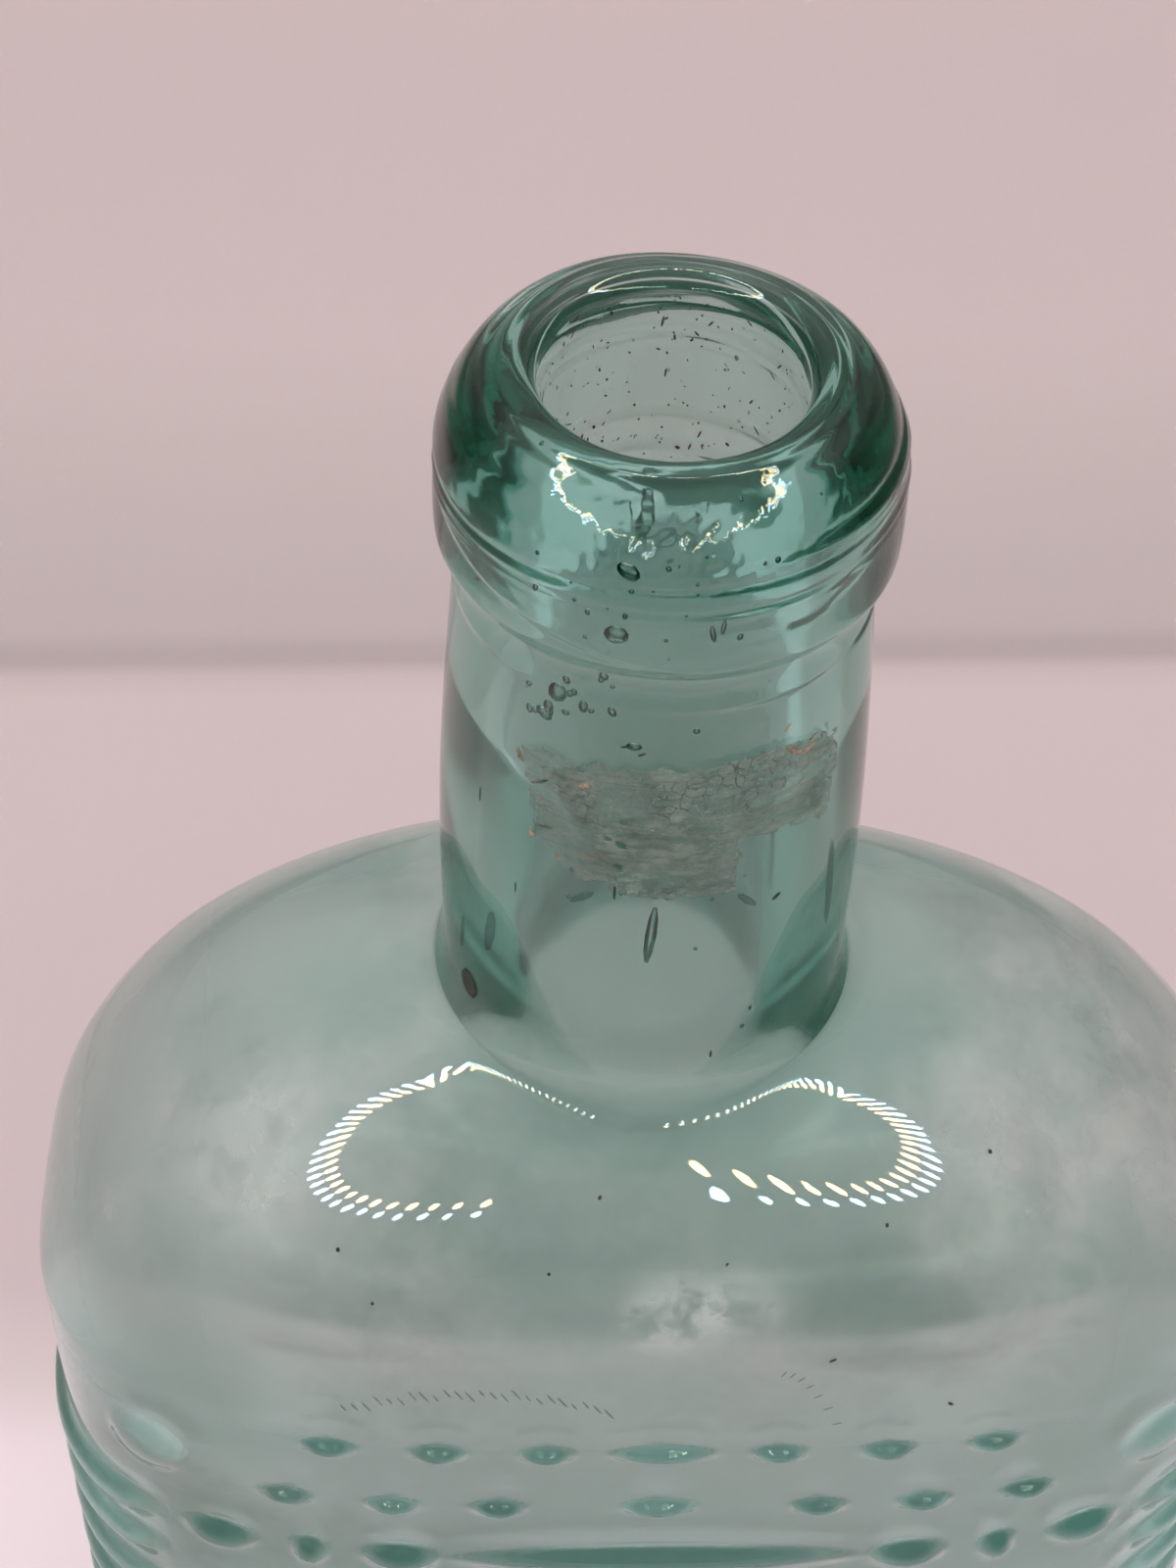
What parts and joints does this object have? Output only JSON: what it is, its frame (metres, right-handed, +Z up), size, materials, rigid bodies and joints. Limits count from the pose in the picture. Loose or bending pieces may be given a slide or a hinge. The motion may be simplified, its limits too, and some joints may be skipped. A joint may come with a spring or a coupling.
{
  "type": "poison bottle",
  "caption": "Flattened oval poison bottle of pale aqua mould-blown glass, with raised studs and ribs to warn by touch, an applied lip and the remains of a paper band on its neck.",
  "frame": {"origin": "on the ground, under the middle of the body", "axes": "+Z up through the neck, +X to the bottle's right as its studded front is seen, and the front faces -Y"},
  "size_m": [0.0962, 0.0472, 0.2044],
  "materials": {
    "body_glass": "mould-blown aqua glass, glossy, with seeds and light scratches",
    "lip_glass": "thick hand-tooled aqua glass, glossy, deeper in colour than the body",
    "band_paper": "matte, aged and crackled grey-green paper",
    "scrap_paper": "matte, torn brown paper"
  },
  "bodies": {
    "root": {"bottle_body": "body_glass", "applied_lip": "lip_glass", "paper_band": "band_paper", "paper_scrap_1": "scrap_paper", "paper_scrap_2": "scrap_paper", "paper_scrap_3": "scrap_paper"}
  },
  "joints": []
}
